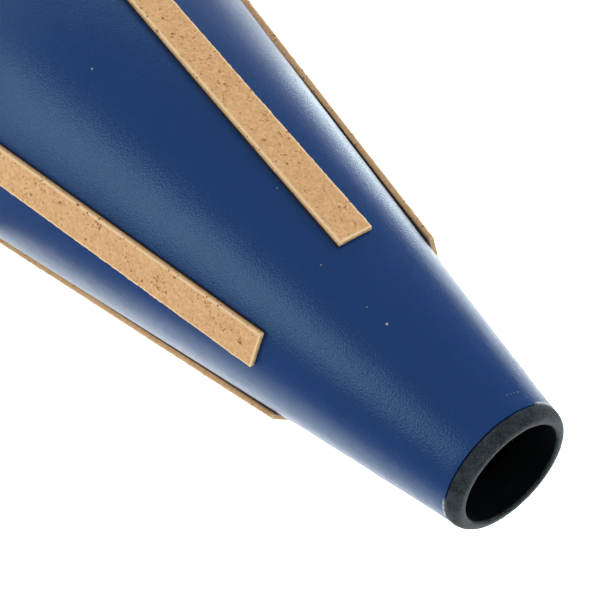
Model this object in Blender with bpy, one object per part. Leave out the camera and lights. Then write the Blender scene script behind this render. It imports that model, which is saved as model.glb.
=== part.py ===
"""Straight mute for a french horn, at its real size.

The mute is a straight-sided cone of lacquered fibre. A moulded rubber ring finishes its open
small end, a disc closes its wide end, and cork strips along the outside wedge it in the bell.

Units are metres. +Z runs along the axis from the closed base to the open nose, and the origin
is the centre of the base rim, which the mute stands on.
"""
import math

import bmesh
import bpy
from mathutils import Vector

MM = 0.001

# Body cone
BODY_LENGTH = 220.0 * MM          # base rim to the lip of the nose ring
BASE_DIAMETER = 122.0 * MM        # outside of the base rim
NOSE_DIAMETER = 40.5 * MM         # outside of the cone, continued to the lip
SHELL_WALL = 1.8 * MM             # measured square to the wall
RIM_ROUND = 0.35 * MM             # edges of the base rim
CUT_EDGE_ROUND = 0.25 * MM        # edges of the cut that the nose ring covers

# Nose ring
BEAD_HEIGHT = 4.3 * MM            # lip to the seat on the shell's cut edge
SHOULDER_WIDTH = 2.9 * MM         # how far the outer shoulder curves in towards the lip
SEAT_EDGE_ROUND = 0.45 * MM       # outer edge of the bead, next to the shell
BORE_DIAMETER = 33.8 * MM
LIP_ROUND = 0.8 * MM              # inner edge of the lip
SPIGOT_DEPTH = 14.0 * MM          # lip to the inner end of the spigot
SPIGOT_END_ROUND = 0.6 * MM

# Base disc
DISC_RECESS = 3.0 * MM            # base rim to the disc's outer face
DISC_THICKNESS = 4.0 * MM
DISC_EDGE_ROUND = 0.8 * MM

# Cork strips, cut from flat sheet, with each strip square across its width
STRIP_COUNT = 5
STRIP_WIDTH = 11.7 * MM
STRIP_THICKNESS = 1.9 * MM
STRIP_NOSE_SETBACK = 71.4 * MM    # lip to the ends nearer the nose
STRIP_BASE_SETBACK = 20.0 * MM    # base rim to the ends nearer the base
STRIP_EDGE_ROUND = 0.3 * MM
FIRST_STRIP_AZIMUTH = 90.0        # degrees from +X, on the side away from the front
# How far each hand-laid strip has drifted from even spacing, in degrees round the axis,
# at its nose end and at its base end
STRIP_DRIFT = ((0.0, 0.4), (-0.4, -0.8), (-1.4, -4.4), (1.4, 2.0), (-2.4, -2.0))

FIT_GAP = 0.3 * MM                # between pieces that touch or are glued

ROUND_SEGMENTS = 96
FILLET_STEPS = 3
SHOULDER_STEPS = 8
STRIP_STATIONS = 13
SHARP_ANGLE = math.radians(32.0)

BASE_RADIUS = BASE_DIAMETER / 2
NOSE_RADIUS = NOSE_DIAMETER / 2
BORE_RADIUS = BORE_DIAMETER / 2
SLOPE = (BASE_RADIUS - NOSE_RADIUS) / BODY_LENGTH
HALF_ANGLE = math.atan(SLOPE)
SEAT_Z = BODY_LENGTH - BEAD_HEIGHT


def outer_radius(z):
    """Outside of the cone at height z."""
    return BASE_RADIUS - SLOPE * z


def inner_radius(z, inset=0.0):
    """Inside of the shell at height z, or a surface that much further in, square to the wall."""
    return outer_radius(z) - (SHELL_WALL + inset) / math.cos(HALF_ANGLE)


def clear_scene():
    for item in list(bpy.data.objects):
        bpy.data.objects.remove(item, do_unlink=True)


def make_material(name, color, roughness):
    material = bpy.data.materials.new(name)
    material.use_nodes = True
    shader = material.node_tree.nodes["Principled BSDF"]
    shader.inputs["Base Color"].default_value = (*color, 1.0)
    shader.inputs["Roughness"].default_value = roughness
    shader.inputs["Metallic"].default_value = 0.0
    return material


def fillet(before, corner, after, radius):
    """Points of the arc that rounds one corner of an outline."""
    if radius <= 0:
        return [corner]
    to_before = (before - corner).normalized()
    to_after = (after - corner).normalized()
    half = to_before.angle(to_after) / 2
    reach = radius / math.tan(half)
    centre = corner + (to_before + to_after).normalized() * radius / math.sin(half)
    start = corner + to_before * reach - centre
    end = corner + to_after * reach - centre
    sweep = start.angle_signed(end)
    points = []
    for step in range(FILLET_STEPS + 1):
        turn = -sweep * step / FILLET_STEPS
        points.append(centre + Vector((
            start.x * math.cos(turn) - start.y * math.sin(turn),
            start.x * math.sin(turn) + start.y * math.cos(turn))))
    return points


def rounded_outline(corners):
    """Closed outline through (x, y, corner radius) corners."""
    places = [Vector(corner[:2]) for corner in corners]
    outline = []
    for index, place in enumerate(places):
        after = places[(index + 1) % len(places)]
        outline += fillet(places[index - 1], place, after, corners[index][2])
    return outline


def finish(name, mesh, material):
    """Shade a mesh smooth between its sharp edges and put it in the scene."""
    mesh.materials.append(material)
    mesh.shade_smooth()
    mesh.set_sharp_from_angle(angle=SHARP_ANGLE)
    piece = bpy.data.objects.new(name, mesh)
    bpy.context.scene.collection.objects.link(piece)
    return piece


def turned(name, outline, material, closed=True):
    """Turn an outline of (radius, height) points round the Z axis."""
    form = bmesh.new()
    verts = [form.verts.new((point[0], 0.0, point[1])) for point in outline]
    edges = [form.edges.new(pair) for pair in zip(verts, verts[1:])]
    if closed:
        edges.append(form.edges.new((verts[-1], verts[0])))
    bmesh.ops.spin(form, geom=verts + edges, cent=(0, 0, 0), axis=(0, 0, 1), dvec=(0, 0, 0),
                   angle=math.tau, steps=ROUND_SEGMENTS, use_merge=True)
    bmesh.ops.remove_doubles(form, verts=form.verts[:], dist=0.001 * MM)
    bmesh.ops.recalc_face_normals(form, faces=form.faces[:])
    mesh = bpy.data.meshes.new(name)
    form.to_mesh(mesh)
    form.free()
    return finish(name, mesh, material)


def make_shell(material):
    """The fibre cone: open at the nose, and open at the base rim that it stands on."""
    top = SEAT_Z - FIT_GAP
    outline = rounded_outline([
        (outer_radius(0), 0, RIM_ROUND),
        (outer_radius(top), top, CUT_EDGE_ROUND),
        (inner_radius(top), top, CUT_EDGE_ROUND),
        (inner_radius(0), 0, RIM_ROUND)])
    return turned("shell_cone", outline, material)


def make_nose_ring(material):
    """The rubber ring: a bead seated on the cut edge, and a spigot that lines the throat."""
    bead_radius = outer_radius(SEAT_Z)
    crown_radius = bead_radius - SHOULDER_WIDTH
    shoulder_base = SEAT_Z + SEAT_EDGE_ROUND
    shoulder_height = BODY_LENGTH - shoulder_base
    spigot_end = BODY_LENGTH - SPIGOT_DEPTH
    shoulder = []
    for step in range(1, SHOULDER_STEPS + 1):
        turn = math.pi / 2 * step / SHOULDER_STEPS
        shoulder.append((
            crown_radius + SHOULDER_WIDTH * math.cos(turn),
            shoulder_base + shoulder_height * math.sin(turn), 0))
    outline = rounded_outline([
        (inner_radius(spigot_end, FIT_GAP), spigot_end, SPIGOT_END_ROUND),
        (inner_radius(SEAT_Z, FIT_GAP), SEAT_Z, 0),
        (bead_radius, SEAT_Z, SEAT_EDGE_ROUND),
        *shoulder,
        (BORE_RADIUS, BODY_LENGTH, LIP_ROUND),
        (BORE_RADIUS, spigot_end, SPIGOT_END_ROUND)])
    return turned("nose_ring", outline, material)


def make_base_disc(material):
    """The disc glued into the wide end. Its edge follows the taper of the shell."""
    low = DISC_RECESS
    high = DISC_RECESS + DISC_THICKNESS
    outline = rounded_outline([
        (0, low, 0),
        (inner_radius(low, FIT_GAP), low, DISC_EDGE_ROUND),
        (inner_radius(high, FIT_GAP), high, DISC_EDGE_ROUND),
        (0, high, 0)])
    return turned("base_disc", outline, material, closed=False)


def strip_section():
    """Cross-section of a cork strip: across its width, then out from the shell."""
    half = STRIP_WIDTH / 2
    top = FIT_GAP + STRIP_THICKNESS
    return rounded_outline([
        (-half, FIT_GAP, 0),
        (half, FIT_GAP, 0),
        (half, top, STRIP_EDGE_ROUND),
        (-half, top, STRIP_EDGE_ROUND)])


def make_cork_strip(number, material):
    """A strip laid along the cone, turned at each station to the cone's own slope there."""
    azimuth = FIRST_STRIP_AZIMUTH + 360.0 / STRIP_COUNT * number
    nose_drift, base_drift = STRIP_DRIFT[number % len(STRIP_DRIFT)]
    section = strip_section()
    nose_z = BODY_LENGTH - STRIP_NOSE_SETBACK
    form = bmesh.new()
    rings = []
    for station in range(STRIP_STATIONS):
        along = station / (STRIP_STATIONS - 1)
        z = STRIP_BASE_SETBACK + (nose_z - STRIP_BASE_SETBACK) * along
        angle = math.radians(azimuth + base_drift + (nose_drift - base_drift) * along)
        radial = Vector((math.cos(angle), math.sin(angle), 0))
        across = Vector((-math.sin(angle), math.cos(angle), 0))
        outward = radial * math.cos(HALF_ANGLE) + Vector((0, 0, math.sin(HALF_ANGLE)))
        foot = radial * outer_radius(z) + Vector((0, 0, z))
        rings.append([form.verts.new(foot + across * x + outward * y) for x, y in section])
    for low, high in zip(rings, rings[1:]):
        for index in range(len(section)):
            after = (index + 1) % len(section)
            form.faces.new((low[index], low[after], high[after], high[index]))
    form.faces.new(rings[0])
    form.faces.new(rings[-1])
    bmesh.ops.recalc_face_normals(form, faces=form.faces[:])
    name = f"cork_strip_{number + 1}"
    mesh = bpy.data.meshes.new(name)
    form.to_mesh(mesh)
    form.free()
    return finish(name, mesh, material)


def build():
    clear_scene()
    lacquer = make_material("blue_lacquer", (0.018, 0.052, 0.150), 0.42)
    rubber = make_material("black_rubber", (0.020, 0.021, 0.022), 0.55)
    cork = make_material("cork", (0.680, 0.440, 0.210), 0.85)
    fibre = make_material("black_fibre", (0.022, 0.022, 0.024), 0.70)
    make_shell(lacquer)
    make_nose_ring(rubber)
    make_base_disc(fibre)
    for number in range(STRIP_COUNT):
        make_cork_strip(number, cork)


build()
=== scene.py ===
"""Straight mute for a french horn: finishes, cork detail, studio and camera."""
import math

import bmesh
import bpy
import numpy as np
from mathutils import Matrix, Vector


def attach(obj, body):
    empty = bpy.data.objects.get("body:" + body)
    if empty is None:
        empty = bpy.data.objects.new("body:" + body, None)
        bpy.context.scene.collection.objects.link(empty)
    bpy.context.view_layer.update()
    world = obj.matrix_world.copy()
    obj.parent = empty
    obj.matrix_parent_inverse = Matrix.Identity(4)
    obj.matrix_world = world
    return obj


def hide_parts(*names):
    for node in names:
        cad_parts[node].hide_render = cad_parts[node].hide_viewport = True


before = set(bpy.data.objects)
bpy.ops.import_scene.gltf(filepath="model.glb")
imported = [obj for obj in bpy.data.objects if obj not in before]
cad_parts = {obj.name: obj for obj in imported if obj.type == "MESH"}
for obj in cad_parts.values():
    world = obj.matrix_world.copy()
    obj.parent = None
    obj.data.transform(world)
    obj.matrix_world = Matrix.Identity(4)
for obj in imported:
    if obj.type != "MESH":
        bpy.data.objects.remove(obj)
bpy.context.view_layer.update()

MM = 0.001
WHITE = (1.0, 1.0, 1.0)

# Camera, in metres and degrees
CAMERA_PLACE = Vector((-0.02588, -0.49989, 0.43873))
CAMERA_AIM = Vector((0.051193, 0.851013, -0.522643))
CAMERA_ROLL = 132.6
CAMERA_LENS = 118.853             # millimetres, as the sensor's width is
SENSOR_WIDTH = 36.0

# Sizes of the mute in millimetres, as in its CAD
BODY_LENGTH = 220.0
BASE_RADIUS = 61.0
NOSE_RADIUS = 20.25               # outside of the cone, carried on to the lip
SLOPE = (BASE_RADIUS - NOSE_RADIUS) / BODY_LENGTH
HALF_ANGLE = math.atan(SLOPE)
SHELL_WALL = 1.8
RIM_ROUND = 0.35
CUT_EDGE_ROUND = 0.25
SEAT_Z = 215.7                    # where the ring sits on the cone's cut edge
FIT_GAP = 0.3
SHOULDER_WIDTH = 2.9
SEAT_EDGE_ROUND = 0.45
BORE_RADIUS = 16.9
LIP_ROUND = 0.8
SPIGOT_DEPTH = 14.0
SPIGOT_END_ROUND = 0.6
DISC_RECESS = 3.0
DISC_THICKNESS = 4.0
DISC_EDGE_ROUND = 0.8
STRIP_WIDTH = 11.7
STRIP_THICKNESS = 1.9
STRIP_TOP = FIT_GAP + STRIP_THICKNESS
STRIP_MIDDLE = FIT_GAP + STRIP_THICKNESS / 2
STRIP_EDGE_ROUND = 0.3
STRIP_BASE_SETBACK = 20.0
STRIP_NOSE_Z = BODY_LENGTH - 71.4
STRIP_LENGTH = (STRIP_NOSE_Z - STRIP_BASE_SETBACK) / math.cos(HALF_ANGLE)

# Each strip's place in degrees: even steps, and how far its nose and base ends drift off them
FIRST_STRIP_AZIMUTH = 90.0
STRIP_PITCH = 72.0
STRIP_DRIFT = ((0.0, 0.4), (-0.4, -0.8), (-1.4, -4.4), (1.4, 2.0), (-2.4, -2.0))

# Fineness of the visible meshes: millimetres between rows, points in a round, steps in a corner
SHELL_GRID = 1.7
SHELL_ROUND = 224
RING_GRID = 0.4
RING_ROUND = 216
DISC_GRID = 1.3
DISC_ROUND = 180
CORK_GRID = 0.3
CORNER_STEPS = 4
STRIP_CORNER_STEPS = 3
SHOULDER_STEPS = 12
SHARP_ANGLE = 50.0                # degrees

# Relief in millimetres, and seeds
SHELL_WAVE = 0.012
SHELL_RIPPLE = 0.6                # share of its finer waves
RING_WAVE = 0.012
DISC_WAVE = 0.02
WAVE_SINK = 2.0                   # in spreads of the waves
CORK_ROUGH = 0.02
CORK_SINK = 3.0
CORK_CHIP = 0.05
CHIP_SPAN = (0.6, 2.2)            # the waves that chip an edge, in spreads
SHELL_SEED = 11
RING_SEED = 12
DISC_SEED = 13
CORK_SEED = 21

# The bore's painted shade reaches a little off its wall, and the disc nearly to the shell's wall, round
# a small middle left flat
BORE_SHADE_REACH = 0.1
DISC_GAP = 0.04
DISC_MIDDLE = 1.0

# How a strip's ends close in on its middle, and how far its nicked edges, painted with a highlight, and its
# rough cuts reach
END_INSETS = (0.9, 0.6, 0.35)
EDGE_SOLID = 0.25
EDGE_REACH = 0.75
CUT_REACH = 0.25

# Glue under each strip, coloured near-black as painted contact shade: its gap, and how high it stands at
# the base and nose ends
GLUE_GAP = 0.06
GLUE_SHADE_TOPS = ((0.5, 0.6), (0.22, 0.75), (0.8, 0.8), (0.76, 0.76), (0.3, 0.75))
GLUE_SHADE_FADE = 0.25

# Open pores of the cork, in clusters
PIT_DEPTH = 0.14
PIT_CLUSTERS = 110
PITS_IN_CLUSTER = (1, 9)
PIT_SPREAD = (0.8, 4.0)
SMALL_PIT = (0.18, 0.36)
LARGE_PIT = (0.36, 0.56)
SMALL_SHARE = 0.85
PIT_STRETCH = (0.7, 1.5)
PIT_STRENGTH = (0.45, 1.0)

# Lacquer: bump heights in millimetres, and where its edge at the ring is chipped pale and painted as a
# highlight, with azimuths in degrees
LACQUER_PEEL = 0.11
LACQUER_HAIR = 0.045
WORN_HIGHLIGHT_AZIMUTHS = (334.5, 194.0)
WORN_HIGHLIGHT_Z = SEAT_Z - 0.5
WORN_HIGHLIGHT_RADIUS = 5.0
WORN_HIGHLIGHT_STRENGTH = 0.9
WORN_HIGHLIGHT_BAND = (1.0, 0.5)            # millimetres below the ring's seat
FLAKE_SPAN = (0.38, 0.46)         # of the noise that flakes it

# Pale specks of the lacquer, as (azimuth, height, radius, strength): a short scratch, then single ones
PALE_SPECKS = (
    (224.9, 210.2, 0.22, 0.35),
    (221.3, 210.4, 0.2, 0.25),
    (217.8, 210.5, 0.22, 0.35),
    (214.4, 210.6, 0.25, 0.45),
    (254.6, 149.2, 0.35, 0.35),
    (243.8, 122.7, 0.35, 0.3),
    (252.3, 174.6, 0.45, 0.9),
    (253.4, 167.2, 0.3, 0.3),
    (261.5, 55.8, 0.45, 0.5))
SPOT_CORE = 0.6                   # share of a spot's radius that is full

# Finishes: colours, and the roughness between which each one varies
LACQUER_DARK = (0.0098, 0.0425, 0.165, 1)
LACQUER_LIGHT = (0.0128, 0.0490, 0.188, 1)
LACQUER_SHINE = (0.57, 0.97, 1.0, 1)
LACQUER_ROUGH = (0.19, 0.25)
# Pale of the chipped specks, and of the painted highlight at the ring
CHIPPED_AND_HIGHLIGHT = (0.5, 0.53, 0.54, 1)
FIBRE_DARK = (0.004, 0.0036, 0.0034, 1)
FIBRE_LIGHT = (0.016, 0.014, 0.013, 1)
FIBRE_ROUGH = (0.8, 0.92)
# Blacker rubber for the bore: painted shade
BORE_SHADE_DARK = (0.0012, 0.0021, 0.0028, 1)
BORE_SHADE_LIGHT = (0.0036, 0.0052, 0.0064, 1)
BORE_ROUGH = (0.5, 0.62)
RUBBER_DARK = (0.0145, 0.0205, 0.0245, 1)
RUBBER_LIGHT = (0.047, 0.060, 0.068, 1)
RUBBER_ROUGH = (0.44, 0.56)
RUBBER_SHEEN = (0.9, 1.0, 1.0, 1)
# Near-black of the glued foot, which also paints the contact shade under the strips
GLUE_AND_SHADE_COLOR = (0.012, 0.0085, 0.007, 1)
CORK_DARK = (0.56, 0.285, 0.10, 1)
CORK_LIGHT = (0.89, 0.575, 0.30, 1)
CORK_DOT = (0.40, 0.16, 0.05, 1)
DOT_CHOICE = (0.72, 0.95)         # the draws, from 0 to 1, that make a granule a dot
DOT_RIM = (0.40, 0.18)            # from a dot's rim to its full core
# Cream of the painted highlight along the cork's edges
CORK_EDGE_HIGHLIGHT = (0.97, 0.73, 0.43, 1)
CORK_PORE = (0.30, 0.12, 0.05, 1)
PORE_SPAN = (0.12, 0.75)
CORK_ROUGHNESS = (0.92, 0.78)
BOARD_DARK = (0.010, 0.009, 0.009, 1)
BOARD_LIGHT = (0.046, 0.043, 0.040, 1)
BOARD_ROUGH = (0.68, 0.85)
NOISE_SPAN = (0.3, 0.7)           # where most of a noise lies

# Studio, in metres, with 1 the brightness of white
COOL = (0.9, 0.99, 1.01)
WORLD_LEVEL = 0.55
FLOOR_MIDDLE = (0.0, 0.68)
FLOOR_Z = -0.0002
FLOOR_RADIUS = 0.8
FLOOR_ROUND = 96
FLOOR_COLOR = (0.8, 0.8, 0.8, 1)
GLOSS_GLOW = 0.4
CAMERA_GLOW = 0.64
MUTE_MIDDLE = (0.0, 0.0, 0.11)

# Lamps, as (place, what it is aimed at, size, brightness)
BACKDROP_LAMP = ((0.05, 0.6, 0.9), (0.05, 0.55, 0.0), (0.5, 0.3), 10.0)
BACKDROP_SPREAD = 90
FLOOR_LAMP = ((-0.04, 0.35, 0.8), (-0.04, 0.35, 0.0), (0.3, 0.2), 75.0)
FLOOR_SPREAD = 42
BACK_WALL_LAMP = ((0.05, 1.1, 0.75), MUTE_MIDDLE, (1.6, 1.0), 2.4)

# Lamps round the mute, placed by azimuth in degrees, distance and height
LOW_FRONT_PLACE = (300, 0.75, -0.095)
LOW_FRONT_LAMP = ((0.0, 0.0, 0.055), (0.46, 0.45), 2.0)
SIDE_LAMPS = (
    ("side_left", (200, 1.1, 0.8), (0.45, 0.45), 6.0),
    ("side_right", (345, 1.1, 0.8), (0.45, 0.45), 2.5),
    ("rim_left", (148, 1.0, 0.35), (0.4, 0.4), 9.5),
    ("rim_right", (20, 1.0, 0.35), (0.4, 0.4), 7.0))

# What the gloss mirrors: a dim screen round the front, dim cards on the floor and a bright one behind
SCREEN_LINE = (
    (-0.25, 0.165), (-0.19, 0.03), (-0.2, -0.25), (-0.2, -0.8), (0.3, -1.1),
    (0.85, -0.8), (0.62, -0.35), (0.3, -0.12), (0.125, 0.0))
SCREEN_BOTTOM = -0.9
SCREEN_TOP = 0.9
LEFT_FRONT = ((-0.07, -0.05), (-0.12, -0.06), (-0.16, -0.07), (-0.2, -0.08), (-0.25, -0.1))
LEFT_BACK = ((-0.075, 0.02), (-0.12, 0.035), (-0.16, 0.065), (-0.2, 0.105), (-0.25, 0.165))
RIGHT_FRONT = ((0.07, -0.03), (0.115, -0.04), (0.165, -0.05), (0.25, -0.08), (0.345, -0.1))
RIGHT_BACK = ((0.075, 0.025), (0.115, 0.033), (0.165, 0.064), (0.25, 0.095), (0.345, 0.1))
DIM_Z = 0.0003
BRIGHT_FRONT = ((-0.115, 0.085), (-0.023, 0.177))
BRIGHT_BACK = ((-0.255, 0.225), (-0.163, 0.317))
BRIGHT_Z = 0.0005
SCREEN_LEVEL = 0.2
LEFT_LEVEL = 0.55
BRIGHT_LEVEL = 2.8


class Nodes:
    """A short way to write a node tree."""

    def __init__(self, tree):
        self.tree = tree
        tree.nodes.clear()

    def add(self, kind, inputs=None, **settings):
        node = self.tree.nodes.new(kind)
        for name, value in settings.items():
            setattr(node, name, value)
        for name, value in (inputs or {}).items():
            self.put(node.inputs[name], value)
        return node

    def put(self, socket, value):
        if isinstance(value, bpy.types.NodeSocket):
            self.tree.links.new(value, socket)
        else:
            socket.default_value = value

    def math(self, operation, *values):
        node = self.add("ShaderNodeMath", operation=operation)
        for socket, value in zip(node.inputs, values):
            self.put(socket, value)
        return node.outputs[0]

    def weighted(self, first, first_share, second, second_share):
        first = self.math("MULTIPLY", first, first_share)
        return self.math("ADD", first, self.math("MULTIPLY", second, second_share))

    def fit(self, value, low, high, to_low=0.0, to_high=1.0):
        """The value's span from low to high, laid on another span and held to it."""
        node = self.add("ShaderNodeMapRange", {
            "Value": value, "From Min": low, "From Max": high, "To Min": to_low, "To Max": to_high})
        return node.outputs[0]

    def noise(self, place, scale, detail=2.0, roughness=0.5):
        node = self.add("ShaderNodeTexNoise", {
            "Vector": place, "Scale": scale, "Detail": detail, "Roughness": roughness})
        return node.outputs["Fac"]

    def attribute(self, name):
        return self.add("ShaderNodeAttribute", attribute_name=name).outputs["Fac"]

    def bump(self, height, distance, normal=None):
        node = self.add("ShaderNodeBump", {"Height": height, "Strength": 1.0, "Distance": distance * MM})
        if normal:
            self.put(node.inputs["Normal"], normal)
        return node.outputs[0]

    def mix(self, factor, low, high):
        node = self.add("ShaderNodeMix", data_type="RGBA")
        self.put(node.inputs["Factor"], factor)
        self.put(node.inputs["A"], low)
        self.put(node.inputs["B"], high)
        return node.outputs["Result"]

    def surface(self, inputs):
        shader = self.add("ShaderNodeBsdfPrincipled", inputs)
        self.add("ShaderNodeOutputMaterial", {"Surface": shader.outputs[0]})


def seen_ray(nodes):
    """1 for rays from the camera, off gloss or through glass, and 0 for the light on the object."""
    path = nodes.add("ShaderNodeLightPath").outputs
    seen = nodes.math("MAXIMUM", path["Is Camera Ray"], path["Is Glossy Ray"])
    return nodes.math("MAXIMUM", seen, path["Is Transmission Ray"])


def make_world():
    world = bpy.data.worlds.new("studio")
    bpy.context.scene.world = world
    world.use_nodes = True
    nodes = Nodes(world.node_tree)
    strength = nodes.fit(seen_ray(nodes), 0.0, 1.0, WORLD_LEVEL, 1.0)
    back = nodes.add("ShaderNodeBackground", {"Color": (*WHITE, 1), "Strength": strength})
    nodes.add("ShaderNodeOutputWorld", {"Surface": back.outputs[0]})


def make_floor():
    """A round pale table top. What is seen of it glows enough to be white, and keeps shadows."""
    form = bmesh.new()
    bmesh.ops.create_circle(form, cap_ends=True, segments=FLOOR_ROUND, radius=FLOOR_RADIUS)
    mesh = bpy.data.meshes.new("floor")
    form.to_mesh(mesh)
    form.free()
    floor = bpy.data.objects.new("floor", mesh)
    floor.location = (*FLOOR_MIDDLE, FLOOR_Z)
    bpy.context.scene.collection.objects.link(floor)
    material = bpy.data.materials.new("pale_floor")
    material.use_nodes = True
    mesh.materials.append(material)
    nodes = Nodes(material.node_tree)
    paint = nodes.add("ShaderNodeBsdfDiffuse", {"Color": FLOOR_COLOR})
    path = nodes.add("ShaderNodeLightPath").outputs
    level = nodes.fit(path["Is Camera Ray"], 0.0, 1.0, GLOSS_GLOW, CAMERA_GLOW)
    glow = nodes.add("ShaderNodeEmission", {"Color": (*COOL, 1), "Strength": level})
    white = nodes.add("ShaderNodeAddShader", {0: paint.outputs[0], 1: glow.outputs[0]})
    both = nodes.add("ShaderNodeMixShader", {0: seen_ray(nodes), 1: paint.outputs[0], 2: white.outputs[0]})
    nodes.add("ShaderNodeOutputMaterial", {"Surface": both.outputs[0]})


def raised(line, height):
    """A line of floor points lifted to a height."""
    return [(x, y, height) for x, y in line]


def make_screen(name, lower, upper, level, color=WHITE):
    """A screen between two lines of points, which only the gloss of the mute shows."""
    count = len(lower)
    faces = [(low, low + 1, low + 1 + count, low + count) for low in range(count - 1)]
    mesh = bpy.data.meshes.new(name)
    mesh.from_pydata(lower + upper, [], faces)
    screen = bpy.data.objects.new(name, mesh)
    bpy.context.scene.collection.objects.link(screen)
    material = bpy.data.materials.new(name)
    material.use_nodes = True
    mesh.materials.append(material)
    nodes = Nodes(material.node_tree)
    glow = nodes.add("ShaderNodeEmission", {"Color": (*color, 1), "Strength": level})
    nodes.add("ShaderNodeOutputMaterial", {"Surface": glow.outputs[0]})
    screen.visible_camera = False
    screen.visible_diffuse = False
    screen.visible_shadow = False
    screen.visible_transmission = False


def soft_box(name, place, aim, size, level, spread=180, gloss=True, matte=True, color=WHITE):
    """An area lamp whose face, seen straight on, is that many times as bright as white."""
    data = bpy.data.lights.new(name, "AREA")
    data.shape = "RECTANGLE"
    data.size, data.size_y = size
    half = math.radians(spread / 2)
    data.spread = 2 * half
    data.color = color
    data.energy = level * math.pi * size[0] * size[1] * (1 - half / math.tan(half))
    lamp = bpy.data.objects.new(name, data)
    lamp.location = place
    lamp.rotation_euler = (Vector(aim) - lamp.location).to_track_quat("-Z", "Y").to_euler()
    lamp.visible_camera = False
    lamp.visible_glossy = gloss
    lamp.visible_diffuse = matte
    bpy.context.scene.collection.objects.link(lamp)


def around(azimuth, distance, height):
    """A place at that distance from the mute's axis, with the azimuth in degrees."""
    angle = math.radians(azimuth)
    return (distance * math.cos(angle), distance * math.sin(angle), height)


def make_studio():
    """Light from above and behind for the floor, from the front and sides for the mute."""
    make_world()
    make_floor()
    make_screen(
        "dim_screen", raised(SCREEN_LINE, SCREEN_BOTTOM), raised(SCREEN_LINE, SCREEN_TOP), SCREEN_LEVEL)
    make_screen("dim_left", raised(LEFT_FRONT, DIM_Z), raised(LEFT_BACK, DIM_Z), LEFT_LEVEL)
    make_screen("dim_right", raised(RIGHT_FRONT, DIM_Z), raised(RIGHT_BACK, DIM_Z), SCREEN_LEVEL)
    make_screen(
        "bright_card", raised(BRIGHT_FRONT, BRIGHT_Z), raised(BRIGHT_BACK, BRIGHT_Z), BRIGHT_LEVEL, COOL)
    soft_box("backdrop", *BACKDROP_LAMP, spread=BACKDROP_SPREAD, color=COOL)
    soft_box("floor_back", *FLOOR_LAMP, spread=FLOOR_SPREAD, color=COOL)
    soft_box("low_front", around(*LOW_FRONT_PLACE), *LOW_FRONT_LAMP)
    for name, place, size, level in SIDE_LAMPS:
        soft_box(name, around(*place), MUTE_MIDDLE, size, level, gloss=False)
    soft_box("back_wall", *BACK_WALL_LAMP, matte=False)


def make_camera():
    data = bpy.data.cameras.new("camera")
    data.sensor_width = SENSOR_WIDTH
    data.lens = CAMERA_LENS
    camera = bpy.data.objects.new("camera", data)
    bpy.context.scene.collection.objects.link(camera)
    aim = CAMERA_AIM.normalized()
    level = aim.cross(Vector((0, 0, 1))).normalized()
    upright = level.cross(aim)
    roll = math.radians(CAMERA_ROLL)
    right = level * math.cos(roll) + upright * math.sin(roll)
    up = right.cross(aim)
    camera.matrix_world = Matrix((
        (right.x, up.x, -aim.x, CAMERA_PLACE.x),
        (right.y, up.y, -aim.y, CAMERA_PLACE.y),
        (right.z, up.z, -aim.z, CAMERA_PLACE.z),
        (0, 0, 0, 1)))
    bpy.context.scene.camera = camera


def outer_radius(z):
    return BASE_RADIUS - SLOPE * z


def inner_radius(z, inset=0.0):
    return outer_radius(z) - (SHELL_WALL + inset) / math.cos(HALF_ANGLE)


def rounded(corners, steps=CORNER_STEPS):
    """Outline through (x, y, corner radius) corners, each corner's neighbours taken in a ring."""
    outline = []
    for index, (x, y, radius) in enumerate(corners):
        corner = Vector((x, y))
        if radius == 0:
            outline.append(corner)
            continue
        before = (Vector(corners[index - 1][:2]) - corner).normalized()
        after = (Vector(corners[(index + 1) % len(corners)][:2]) - corner).normalized()
        half = before.angle(after) / 2
        centre = corner + (before + after).normalized() * radius / math.sin(half)
        start = corner + before * radius / math.tan(half) - centre
        end = corner + after * radius / math.tan(half) - centre
        for step in range(steps + 1):
            outline.append(centre + start.slerp(end, step / steps).normalized() * radius)
    return outline


def divided(outline, grid, closed=True):
    """The outline with its long sides cut into pieces of about that length.

    Each side gives its points up to its end, so an open outline stops one piece short."""
    points = []
    ends = outline[1:] + outline[:1] if closed else outline[1:]
    for start, end in zip(outline, ends):
        count = max(1, round((end - start).length / grid))
        points += [start.lerp(end, step / count) for step in range(count)]
    return np.array(points)


def turned(outline, steps):
    """A grid of points: the outline of (radius, height) points turned round the Z axis."""
    turn = np.linspace(0, math.tau, steps, endpoint=False)
    radius = outline[:, 0][:, None]
    height = np.repeat(outline[:, 1][:, None], steps, 1)
    return np.stack([radius * np.cos(turn), radius * np.sin(turn), height], 2)


def waves(rng, shape, blur):
    """Seeded random waves with a spread of 1, on a grid that closes on itself.

    blur is the size of a wave, in points of the grid."""
    field = np.fft.rfft2(rng.standard_normal(shape))
    down = np.fft.fftfreq(shape[0])[:, None] * blur
    along = np.fft.rfftfreq(shape[1])[None] * blur
    wave = np.fft.irfft2(field * np.exp(-2 * np.pi ** 2 * (down ** 2 + along ** 2)), s=shape)
    return wave / wave.std()


def normals(points, closed_rows):
    """Unit normals of a grid of points whose columns close into rounds."""
    if closed_rows:
        down = np.roll(points, -1, 0) - np.roll(points, 1, 0)
    else:
        down = np.gradient(points, axis=0)
    across = np.roll(points, -1, 1) - np.roll(points, 1, 1)
    facing = np.cross(across, down)
    return facing / np.maximum(np.linalg.norm(facing, axis=2, keepdims=True), 1e-9)


def sunk(points, closed_rows, relief):
    """The points moved along their normals by the relief, and only inwards."""
    return points + normals(points, closed_rows) * np.minimum(relief, 0.0)[..., None]


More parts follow.
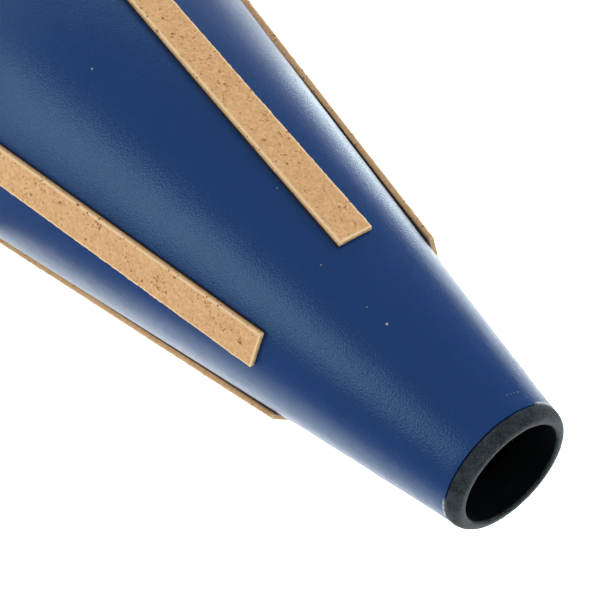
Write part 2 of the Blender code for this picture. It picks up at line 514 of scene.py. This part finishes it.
def piece_of(name, node, points, closed_rows, materials, second_rows=None, fields=None):
    """The visible piece for a CAD node, from a grid of points in millimetres.

    Faces between two rows marked in second_rows take the second material."""
    rows, columns = points.shape[:2]
    index = np.arange(rows * columns).reshape(rows, columns)
    low = index if closed_rows else index[:-1]
    high = np.roll(index, -1, 0) if closed_rows else index[1:]
    faces = np.stack([low, np.roll(low, -1, 1), np.roll(high, -1, 1), high], 2).reshape(-1, 4).tolist()
    if not closed_rows:
        faces += [index[0][::-1].tolist(), index[-1].tolist()]
    mesh = bpy.data.meshes.new(name)
    mesh.from_pydata((points.reshape(-1, 3) * MM).tolist(), [], faces)
    for material in materials:
        mesh.materials.append(material)
    if second_rows is not None:
        second = second_rows & np.roll(second_rows, -1)
        mesh.polygons.foreach_set("material_index", np.repeat(second, columns).astype(np.int32))
    for title, values in (fields or {}).items():
        layer = mesh.attributes.new(title, "FLOAT", "POINT")
        layer.data.foreach_set("value", values.reshape(-1).astype(np.float32))
    mesh.shade_smooth()
    mesh.set_sharp_from_angle(angle=math.radians(SHARP_ANGLE))
    piece = bpy.data.objects.new(name, mesh)
    bpy.context.scene.collection.objects.link(piece)
    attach(piece, "root")
    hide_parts(node)


def make_shell():
    """The lacquered cone, with the slow waves of a rolled fibre wall."""
    top = SEAT_Z - FIT_GAP
    outline = divided(rounded([
        (outer_radius(0), 0, RIM_ROUND),
        (outer_radius(top), top, CUT_EDGE_ROUND),
        (inner_radius(top), top, CUT_EDGE_ROUND),
        (inner_radius(0), 0, RIM_ROUND)]), SHELL_GRID)
    points = turned(outline, SHELL_ROUND)
    rng = np.random.default_rng(SHELL_SEED)
    wave = waves(rng, points.shape[:2], blur=4) + SHELL_RIPPLE * waves(rng, points.shape[:2], blur=1.5)
    points = sunk(points, True, SHELL_WAVE * (wave - WAVE_SINK))
    middle = (outer_radius(outline[:, 1]) + inner_radius(outline[:, 1])) / 2
    piece_of(
        "lacquered_shell", "shell_cone", points, True,
        [lacquer(), bare_fibre()], second_rows=outline[:, 0] < middle)


def make_ring():
    """The rubber ring: a rounded bead on the cut edge of the cone, and a spigot in its throat."""
    bead_radius = outer_radius(SEAT_Z)
    crown_radius = bead_radius - SHOULDER_WIDTH
    shoulder_base = SEAT_Z + SEAT_EDGE_ROUND
    shoulder_height = BODY_LENGTH - shoulder_base
    spigot_end = BODY_LENGTH - SPIGOT_DEPTH
    shoulder = []
    for turn in np.linspace(0, math.pi / 2, SHOULDER_STEPS + 1)[1:]:
        x = crown_radius + SHOULDER_WIDTH * math.cos(turn)
        shoulder.append((x, shoulder_base + shoulder_height * math.sin(turn), 0))
    outline = divided(rounded([
        (inner_radius(spigot_end, FIT_GAP), spigot_end, SPIGOT_END_ROUND),
        (inner_radius(SEAT_Z, FIT_GAP), SEAT_Z, 0),
        (bead_radius, SEAT_Z, SEAT_EDGE_ROUND),
        *shoulder,
        (BORE_RADIUS, BODY_LENGTH, LIP_ROUND),
        (BORE_RADIUS, spigot_end, SPIGOT_END_ROUND)]), RING_GRID)
    points = turned(outline, RING_ROUND)
    rng = np.random.default_rng(RING_SEED)
    wave = waves(rng, points.shape[:2], blur=2) + waves(rng, points.shape[:2], blur=0.8)
    points = sunk(points, True, RING_WAVE * (wave - WAVE_SINK))
    # The bore and spigot take the blacker rubber, painted shade inside the throat
    on_bore = (outline[:, 0] < BORE_RADIUS + BORE_SHADE_REACH) & (outline[:, 1] < BODY_LENGTH - LIP_ROUND)
    piece_of(
        "rubber_ring", "nose_ring", points, True,
        [rubber(), shaded_bore()], second_rows=on_bore)


def make_disc():
    """The black fibreboard disc glued into the wide end."""
    low = DISC_RECESS
    high = DISC_RECESS + DISC_THICKNESS
    outline = divided(rounded([
        (DISC_MIDDLE, low, 0),
        (inner_radius(low, DISC_GAP), low, DISC_EDGE_ROUND),
        (inner_radius(high, DISC_GAP), high, DISC_EDGE_ROUND),
        (DISC_MIDDLE, high, 0)]), DISC_GRID, closed=False)
    points = turned(outline, DISC_ROUND)
    rng = np.random.default_rng(DISC_SEED)
    wave = waves(rng, points.shape[:2], blur=1.2)
    points = sunk(points, False, DISC_WAVE * (wave - WAVE_SINK))
    piece_of("fibreboard_disc", "base_disc", points, False, [fibreboard()])


def strip_section():
    """The outline across a strip, as points (across, up), with up measured off the shell."""
    half = STRIP_WIDTH / 2
    return divided(rounded([
        (-half, GLUE_GAP, 0),
        (half, GLUE_GAP, 0),
        (half, STRIP_TOP, STRIP_EDGE_ROUND),
        (-half, STRIP_TOP, STRIP_EDGE_ROUND)], STRIP_CORNER_STEPS), CORK_GRID)


def strip_rows():
    """Rows along a strip, as (distance from its base end, inset), with insets only at its ends."""
    end = [(0.0, inset) for inset in END_INSETS]
    for turn in np.linspace(0, math.pi / 2, STRIP_CORNER_STEPS + 1):
        end.append((STRIP_EDGE_ROUND * (1 - math.cos(turn)), STRIP_EDGE_ROUND * (1 - math.sin(turn))))
    count = round((STRIP_LENGTH - 2 * STRIP_EDGE_ROUND) / CORK_GRID)
    places = np.linspace(STRIP_EDGE_ROUND, STRIP_LENGTH - STRIP_EDGE_ROUND, count)[1:-1]
    other_end = [(STRIP_LENGTH - place, inset) for place, inset in reversed(end)]
    return np.array(end + [(place, 0.0) for place in places] + other_end)


def pits(rng, along, girth, reach):
    """Seeded clusters of small holes: their depth from 0 to 1 at each point of a strip."""
    depth = np.zeros(along.shape)
    for cluster in range(PIT_CLUSTERS):
        middle = (rng.uniform(0, STRIP_LENGTH), rng.uniform(0, reach))
        spread = rng.uniform(*PIT_SPREAD)
        for hole in range(rng.integers(*PITS_IN_CLUSTER)):
            place = rng.normal(middle, spread)
            span = SMALL_PIT if rng.random() < SMALL_SHARE else LARGE_PIT
            radius = rng.uniform(*span)
            stretch = rng.uniform(*PIT_STRETCH)
            far = ((along - place[0]) / stretch) ** 2 + ((girth - place[1]) * stretch) ** 2
            strength = rng.uniform(*PIT_STRENGTH)
            depth = np.maximum(depth, strength * np.exp(-(far / radius ** 2) ** 1.5))
    return depth


def make_strip(number, material):
    """A cork strip, cut from sheet: rough cut walls, nicked edges, open pores and a dark glued foot that is
    also painted contact shade.
    """
    section = strip_section()
    rows = strip_rows()
    along = rows[:, 0][:, None] + np.zeros(len(section))
    share = rows[:, 1][:, None] / (STRIP_THICKNESS / 2)
    across = section[:, 0] * (1 - share * STRIP_THICKNESS / STRIP_WIDTH)
    up = section[:, 1] * (1 - share) + STRIP_MIDDLE * share

    # The underside follows the round of the shell, and the dark glued foot, painted contact shade, fades
    # out above it
    z = STRIP_BASE_SETBACK + along * math.cos(HALF_ANGLE)
    sag = across ** 2 * math.cos(HALF_ANGLE) / (2 * outer_radius(z))
    glue_shade_base, glue_shade_nose = GLUE_SHADE_TOPS[number]
    glue_shade_top = glue_shade_base + (glue_shade_nose - glue_shade_base) * along / STRIP_LENGTH
    up -= sag * np.clip((glue_shade_top - up) / (glue_shade_top - GLUE_GAP), 0.0, 1.0)
    glue_and_shade = np.clip((glue_shade_top - up) / GLUE_SHADE_FADE, 0.0, 1.0)

    # Laid on the cone along its slope
    nose_drift, base_drift = STRIP_DRIFT[number]
    drift = base_drift + (nose_drift - base_drift) * along / STRIP_LENGTH
    angle = np.radians(FIRST_STRIP_AZIMUTH + STRIP_PITCH * number + drift)
    radius = outer_radius(z) + up * math.cos(HALF_ANGLE)
    points = np.stack([
        radius * np.cos(angle) - across * np.sin(angle),
        radius * np.sin(angle) + across * np.cos(angle),
        z + up * math.sin(HALF_ANGLE)], 2)

    # How near each point is to an edge or a cut wall
    side_far = STRIP_WIDTH / 2 - np.abs(across)
    top_far = STRIP_TOP - up
    end_far = np.minimum(along, STRIP_LENGTH - along)
    edge_far = np.sqrt(np.minimum(np.minimum(
        side_far ** 2 + top_far ** 2, end_far ** 2 + top_far ** 2), side_far ** 2 + end_far ** 2))
    edge = np.clip((EDGE_REACH - edge_far) / (EDGE_REACH - EDGE_SOLID), 0.0, 1.0)
    cut = np.clip(1.0 - np.minimum(side_far, end_far) / CUT_REACH, 0.0, 1.0)

    rng = np.random.default_rng(CORK_SEED + number)
    steps = np.linalg.norm(np.diff(section, axis=0, append=section[:1]), axis=1)
    girth = np.cumsum(steps) - steps[0] + np.zeros(along.shape)
    hole = pits(rng, along, girth, steps.sum()) * (1 - glue_and_shade)
    grain = waves(rng, along.shape, blur=1.2)
    lump = waves(rng, along.shape, blur=4)
    nick = np.clip(waves(rng, along.shape, blur=1.6), *CHIP_SPAN) - CHIP_SPAN[0]
    relief = CORK_ROUGH * ((1 + cut) * grain + lump - CORK_SINK)
    relief -= PIT_DEPTH * hole + CORK_CHIP * edge * nick
    points = sunk(points, False, relief * (1 - glue_and_shade))
    piece_of(
        f"cork_{number + 1}", f"cork_strip_{number + 1}", points, False, [material],
        fields={"hole": hole, "edge": edge * (1 - hole), "glue_and_shade": glue_and_shade})


def new_material(name):
    """A material, its node tree, and the object's own coordinates to paint it by."""
    material = bpy.data.materials.new(name)
    material.use_nodes = True
    nodes = Nodes(material.node_tree)
    return material, nodes, nodes.add("ShaderNodeTexCoord").outputs["Object"]


def spot(nodes, place, azimuth, z, radius):
    """1 within a radius of a place on the outside of the cone, with a soft edge."""
    middle = around(azimuth, outer_radius(z), z)
    far = nodes.add("ShaderNodeVectorMath", {0: place}, operation="DISTANCE")
    far.inputs[1].default_value = [value * MM for value in middle]
    return nodes.fit(far.outputs["Value"], radius * MM, radius * SPOT_CORE * MM)


def lacquer():
    """Dark blue lacquer with a fine grain, a few pale specks, and at the ring a pale chipped edge that is
    also a painted highlight.
    """
    material, nodes, place = new_material("blue_lacquer")
    blue = nodes.mix(nodes.noise(place, scale=60.0, detail=3.0), LACQUER_DARK, LACQUER_LIGHT)
    pale = 0.0
    for azimuth, z, radius, strength in PALE_SPECKS:
        speck = nodes.math("MULTIPLY", spot(nodes, place, azimuth, z, radius), strength)
        pale = nodes.math("MAXIMUM", pale, speck)
    # Pale chipped lacquer below the ring at two places, which also paints the highlight of the ring's
    # shoulder there
    height = nodes.add("ShaderNodeSeparateXYZ", {0: place}).outputs["Z"]
    rim = nodes.fit(height, *[(SEAT_Z - depth) * MM for depth in WORN_HIGHLIGHT_BAND])
    flake = nodes.fit(nodes.noise(place, scale=900.0, detail=3.0), *FLAKE_SPAN)
    ends = [spot(nodes, place, azimuth, WORN_HIGHLIGHT_Z, WORN_HIGHLIGHT_RADIUS) for azimuth in WORN_HIGHLIGHT_AZIMUTHS]
    worn_highlight = nodes.math("MULTIPLY", nodes.math("MAXIMUM", *ends), WORN_HIGHLIGHT_STRENGTH)
    worn_highlight = nodes.math("MULTIPLY", nodes.math("MULTIPLY", rim, flake), worn_highlight)
    color = nodes.mix(nodes.math("MAXIMUM", pale, worn_highlight), blue, CHIPPED_AND_HIGHLIGHT)
    bump = nodes.bump(nodes.noise(place, scale=1700.0), LACQUER_PEEL)
    bump = nodes.bump(nodes.noise(place, scale=2800.0), LACQUER_HAIR, bump)
    gloss = nodes.fit(nodes.noise(place, scale=240.0, detail=3.0), *NOISE_SPAN, *LACQUER_ROUGH)
    nodes.surface({"Base Color": color, "Roughness": gloss, "Specular Tint": LACQUER_SHINE, "Normal": bump})
    return material


def bare_fibre():
    """The unlacquered inside of the cone, a dark pressed fibre."""
    material, nodes, place = new_material("bare_fibre")
    tone = nodes.noise(place, scale=900.0, detail=4.0, roughness=0.7)
    nodes.surface({
        "Base Color": nodes.mix(tone, FIBRE_DARK, FIBRE_LIGHT),
        "Roughness": nodes.fit(tone, *NOISE_SPAN, *FIBRE_ROUGH),
        "Specular IOR Level": 0.2,
        "Normal": nodes.bump(tone, 0.05)})
    return material


def shaded_bore():
    """The bore of the ring: the same rubber, painted blacker as the shade inside the throat, and without
    the bloom.
    """
    material, nodes, place = new_material("shaded_bore")
    tone = nodes.noise(place, scale=500.0, detail=3.0)
    nodes.surface({
        "Base Color": nodes.mix(tone, BORE_SHADE_DARK, BORE_SHADE_LIGHT),
        "Roughness": nodes.fit(tone, *NOISE_SPAN, *BORE_ROUGH),
        "Specular IOR Level": 0.15})
    return material


def rubber():
    """Black moulded rubber with a grey bloom, flecks and a thin sheen."""
    material, nodes, place = new_material("black_rubber")
    bloom = nodes.noise(place, scale=260.0, detail=5.0, roughness=0.65)
    fleck = nodes.fit(nodes.noise(place, scale=1600.0, detail=3.0, roughness=0.7), 0.45, 0.7)
    tone = nodes.weighted(nodes.fit(bloom, 0.4, 0.65), 0.7, fleck, 0.9)
    nodes.surface({
        "Base Color": nodes.mix(tone, RUBBER_DARK, RUBBER_LIGHT),
        "Roughness": nodes.fit(bloom, *NOISE_SPAN, *RUBBER_ROUGH),
        "Specular IOR Level": 0.06,
        "Sheen Weight": 0.12,
        "Sheen Roughness": 0.18,
        "Sheen Tint": RUBBER_SHEEN,
        "Normal": nodes.bump(nodes.noise(place, scale=1900.0, detail=3.0, roughness=0.6), 0.06)})
    return material


def cork():
    """Fine agglomerated cork: granules of slightly different tans, brown pores, a painted highlight along
    the edges and a dark glued foot painted as contact shade.
    """
    material, nodes, place = new_material("cork")
    swirl = nodes.add("ShaderNodeTexNoise", {"Vector": place, "Scale": 1400.0, "Detail": 2.0})
    bend = nodes.add("ShaderNodeVectorMath", {0: swirl.outputs["Color"]}, operation="SCALE")
    bend.inputs["Scale"].default_value = 0.9 * MM
    bent = nodes.add("ShaderNodeVectorMath", {0: place, 1: bend.outputs[0]}, operation="ADD").outputs[0]
    granule = nodes.add("ShaderNodeTexVoronoi", {"Vector": bent, "Scale": 1300.0}).outputs
    shade = nodes.add("ShaderNodeSeparateColor", {0: granule["Color"]}).outputs[0]
    cloud = nodes.noise(place, scale=700.0, detail=4.0, roughness=0.65)
    tone = nodes.weighted(shade, 0.4, cloud, 0.7)
    tan = nodes.mix(tone, CORK_DARK, CORK_LIGHT)

    # Some of the granules are small brown dots
    dots = nodes.add("ShaderNodeTexVoronoi", {"Vector": place, "Scale": 950.0}).outputs
    draw = nodes.add("ShaderNodeSeparateColor", {0: dots["Color"]}).outputs[1]
    chosen = nodes.fit(draw, *DOT_CHOICE)
    dot = nodes.math("MULTIPLY", nodes.fit(dots["Distance"], *DOT_RIM), chosen)
    tan = nodes.mix(nodes.math("MULTIPLY", dot, 0.8), tan, CORK_DOT)

    # The strip's own fields: a painted highlight along the edges, brown pores, and the dark glued foot,
    # which is painted contact shade too
    # Pale cream on the edges: a painted highlight
    tan = nodes.mix(nodes.math("MULTIPLY", nodes.attribute("edge"), 0.9), tan, CORK_EDGE_HIGHLIGHT)
    color = nodes.mix(nodes.fit(nodes.attribute("hole"), *PORE_SPAN), tan, CORK_PORE)
    # Near-black foot up the strip's walls: the glued joint, and painted contact shade under the strip
    color = nodes.mix(nodes.attribute("glue_and_shade"), color, GLUE_AND_SHADE_COLOR)
    nodes.surface({
        "Base Color": color,
        "Roughness": nodes.fit(tone, 0.2, 0.9, *CORK_ROUGHNESS),
        "Normal": nodes.bump(nodes.noise(place, scale=1500.0, detail=4.0, roughness=0.7), 0.05)})
    return material


def fibreboard():
    """Black pressed board: short fibres and a dull face."""
    material, nodes, place = new_material("black_fibreboard")
    stretch = nodes.add("ShaderNodeMapping", {
        "Vector": place, "Scale": (1.0, 4.0, 1.0), "Rotation": (0, 0, 0.5)})
    fibre = nodes.noise(stretch.outputs[0], scale=420.0, detail=5.0, roughness=0.7)
    mat = nodes.noise(place, scale=90.0, detail=4.0, roughness=0.6)
    nodes.surface({
        "Base Color": nodes.mix(nodes.weighted(fibre, 0.7, mat, 0.4), BOARD_DARK, BOARD_LIGHT),
        "Roughness": nodes.fit(mat, *NOISE_SPAN, *BOARD_ROUGH),
        "Normal": nodes.bump(fibre, 0.06)})
    return material


make_studio()
make_camera()
make_shell()
make_ring()
make_disc()
cork_finish = cork()
for number in range(len(STRIP_DRIFT)):
    make_strip(number, cork_finish)

scene = bpy.context.scene
scene.view_settings.view_transform = "Standard"
